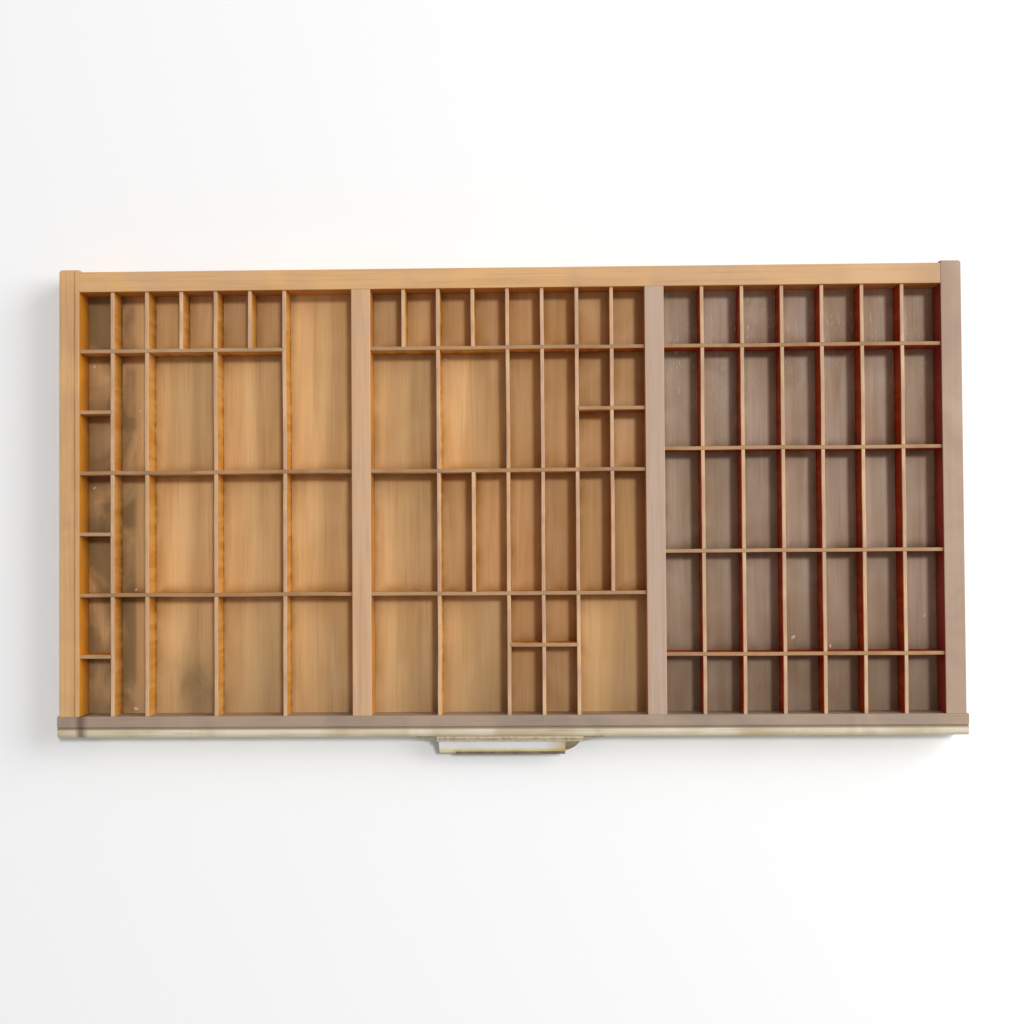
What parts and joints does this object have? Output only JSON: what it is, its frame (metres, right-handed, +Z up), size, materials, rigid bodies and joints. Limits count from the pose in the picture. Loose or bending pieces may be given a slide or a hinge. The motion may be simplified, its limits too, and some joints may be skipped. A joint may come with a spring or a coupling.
{
  "type": "printers type tray",
  "caption": "Shallow wooden tray in three sections, divided by thin half-lapped slats into small compartments, with a cast pull and a sliding label card in front.",
  "frame": {"origin": "middle of the underside, halfway between the nose of the front rail and the back of the back rail", "axes": "+X to the right along the front rail, +Y to the back, +Z up; the pull is at -Y"},
  "size_m": [0.823, 0.4449, 0.035],
  "materials": {
    "front_rail_wood": "worn oiled maple with a handled, darkened nose",
    "back_rail_wood": "worn oiled maple",
    "left_rail_wood": "worn oiled maple, warm",
    "right_rail_wood": "worn oiled maple, greyed",
    "mullion_wood": "worn oiled maple",
    "long_slat_wood": "thin planed hardwood, pale worn edges",
    "cross_slat_wood": "thin planed hardwood, pale worn edges",
    "panel_wood": "aged plywood, dusty and stained",
    "pull_iron": "dark japanned casting, rubbed",
    "fastener_steel": "dark oxidised",
    "card": "yellowed card, bare"
  },
  "bodies": {
    "tray": {"front_rail": "front_rail_wood", "back_rail": "back_rail_wood", "side_rail_left": "left_rail_wood", "side_rail_right": "right_rail_wood", "mullion_left": "mullion_wood", "mullion_right": "mullion_wood", "bottom_panel": "panel_wood", "left_long_slat_1": "long_slat_wood", "left_long_slat_2": "long_slat_wood", "left_long_slat_3": "long_slat_wood", "left_long_slat_4": "long_slat_wood", "left_long_slat_5": "long_slat_wood", "left_long_slat_6": "long_slat_wood", "centre_long_slat_1": "long_slat_wood", "centre_long_slat_2": "long_slat_wood", "centre_long_slat_3": "long_slat_wood", "centre_long_slat_4": "long_slat_wood", "centre_long_slat_5": "long_slat_wood", "centre_long_slat_6": "long_slat_wood", "centre_long_slat_7": "long_slat_wood", "centre_long_slat_8": "long_slat_wood", "right_long_slat_1": "long_slat_wood", "right_long_slat_2": "long_slat_wood", "right_long_slat_3": "long_slat_wood", "right_long_slat_4": "long_slat_wood", "right_long_slat_5": "long_slat_wood", "right_long_slat_6": "long_slat_wood", "left_cross_slat_1": "cross_slat_wood", "left_cross_slat_2": "cross_slat_wood", "left_cross_slat_3": "cross_slat_wood", "left_cross_slat_4": "cross_slat_wood", "left_cross_slat_5": "cross_slat_wood", "left_cross_slat_6": "cross_slat_wood", "centre_cross_slat_1": "cross_slat_wood", "centre_cross_slat_2": "cross_slat_wood", "centre_cross_slat_3": "cross_slat_wood", "centre_cross_slat_4": "cross_slat_wood", "centre_cross_slat_5": "cross_slat_wood", "right_cross_slat_1": "cross_slat_wood", "right_cross_slat_2": "cross_slat_wood", "right_cross_slat_3": "cross_slat_wood", "right_cross_slat_4": "cross_slat_wood", "pull": "pull_iron", "pull_screws": "fastener_steel", "corner_nails": "fastener_steel", "mullion_nails": "fastener_steel", "bottom_nails": "fastener_steel"},
    "label_card": {"label_card": "card"}
  },
  "joints": [
    {"name": "label_slide", "type": "slide", "parent": "tray", "child": "label_card", "axis": [1, 0, 0], "range_m": [-0.09, 0.1]}
  ]
}
